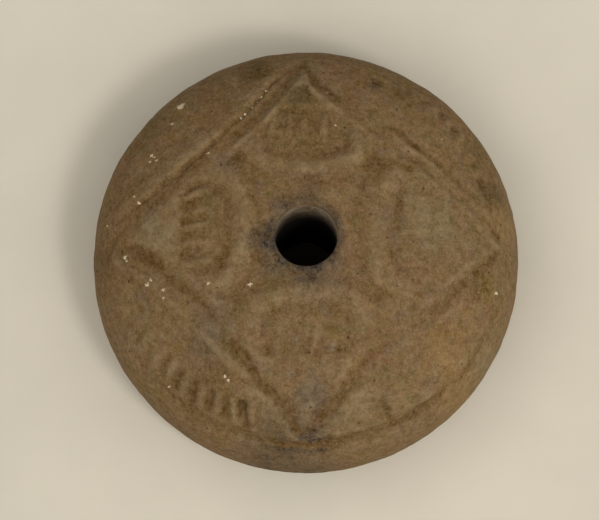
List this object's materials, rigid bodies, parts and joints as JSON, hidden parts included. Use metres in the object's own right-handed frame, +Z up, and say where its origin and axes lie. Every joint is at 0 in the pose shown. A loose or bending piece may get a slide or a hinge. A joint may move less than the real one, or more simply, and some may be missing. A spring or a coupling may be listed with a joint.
{
  "type": "clay spindle whorl",
  "caption": "Bun-shaped fired-clay spindle whorl with a flat base, a straight central bore for the spindle and moulded petals, bars and teeth on its domed crown.",
  "frame": {"origin": "middle of the flat base, on the axis of the bore", "axes": "+Z up along the bore out of the domed crown, +X and +Y each through the tip of a petal"},
  "size_m": [0.044, 0.044, 0.0183],
  "materials": {
    "fired_clay": "matt, hand-smoothed, unglazed"
  },
  "bodies": {
    "root": {"whorl": "fired_clay"}
  },
  "joints": []
}
